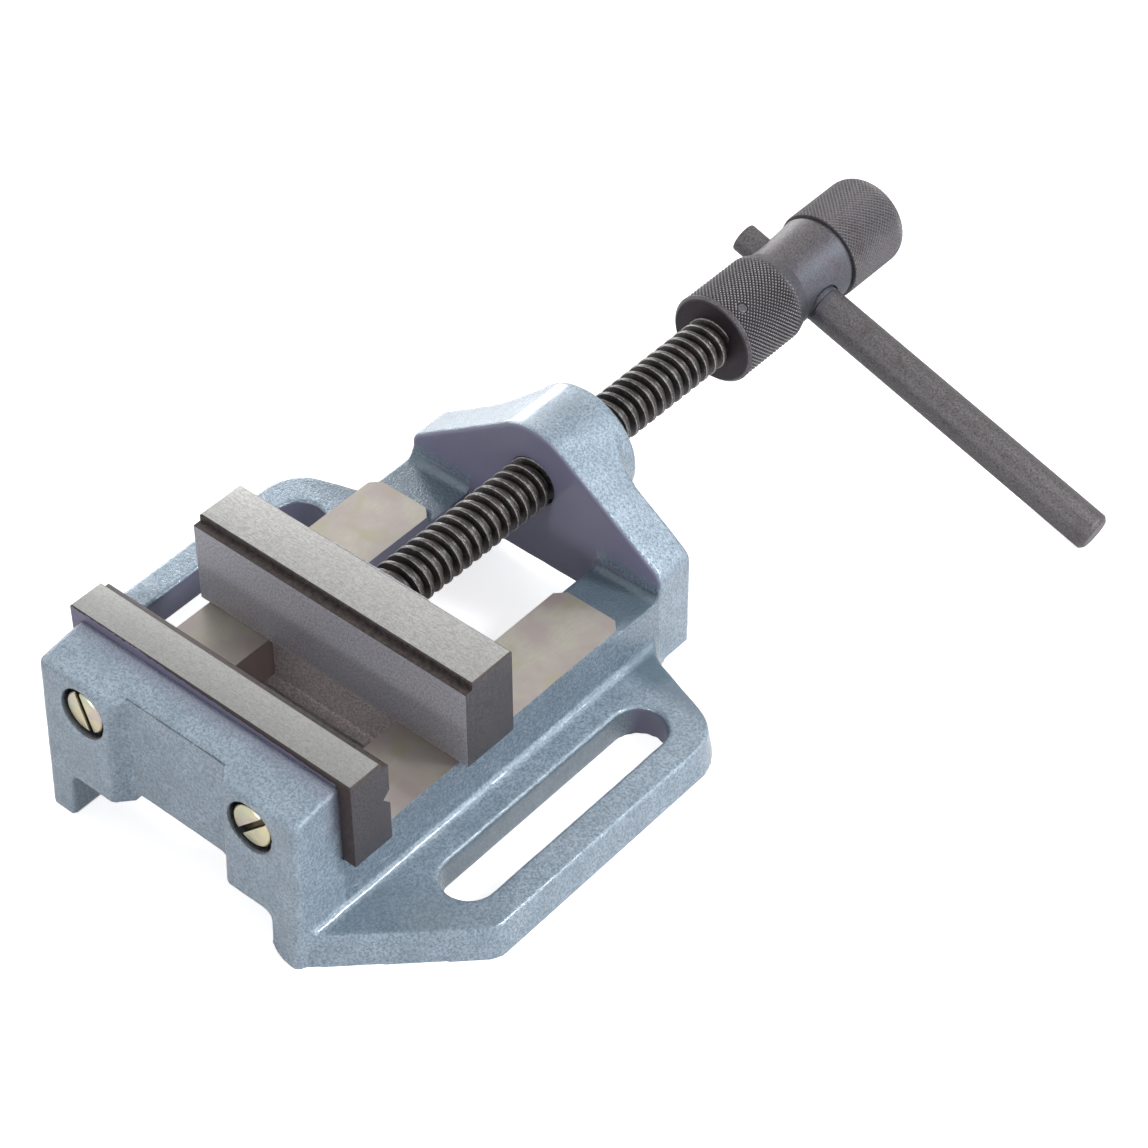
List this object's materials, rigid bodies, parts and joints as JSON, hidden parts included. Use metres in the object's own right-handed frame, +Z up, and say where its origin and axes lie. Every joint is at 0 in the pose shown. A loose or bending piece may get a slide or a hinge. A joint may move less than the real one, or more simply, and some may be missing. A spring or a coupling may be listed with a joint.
{
  "type": "drill press vise",
  "caption": "Drill press vise: slotted cast base, fixed jaw with bolted steel plate, jaw sliding on two ways, threaded spindle with knurled head and lever.",
  "frame": {"origin": "on the table's surface, midway between the centres of the two bolt slots", "axes": "+Z up, +Y along the spindle from the fixed jaw to the handle, +X to the right seen from the fixed jaw's end"},
  "size_m": [0.2005, 0.3072, 0.0622],
  "materials": {
    "painted_casting": "blue-grey hammertone paint, ground ways left bare",
    "ground_steel": "ground",
    "dark_steel": "black oxide",
    "yellow_zinc": "yellow zinc plate",
    "bright_zinc": "bright zinc plate"
  },
  "bodies": {
    "body": {"body_casting": "painted_casting", "fixed_jaw_plate": "ground_steel", "jaw_plate_screws": "yellow_zinc"},
    "jaw": {"moving_jaw": "ground_steel", "keeper_plate": "ground_steel", "keeper_bolts": "bright_zinc", "spindle_retainer": "ground_steel", "retainer_screws": "bright_zinc"},
    "spindle": {"spindle": "dark_steel", "spindle_head": "dark_steel", "head_pin": "dark_steel", "lever": "dark_steel"}
  },
  "joints": [
    {"name": "jaw_slide", "type": "slide", "parent": "body", "child": "jaw", "axis": [0, 1, 0], "range_m": [-0.0307, 0.047]},
    {"name": "spindle_turn", "type": "hinge", "parent": "jaw", "child": "spindle", "pos_m": [0, 0, 0.0432], "axis": [0, 1, 0], "range_deg": [-2754, 4212]}
  ],
  "couplings": [
    {"joint": "jaw_slide", "follows": "spindle_turn", "m_per_rad": 0.00063662}
  ]
}
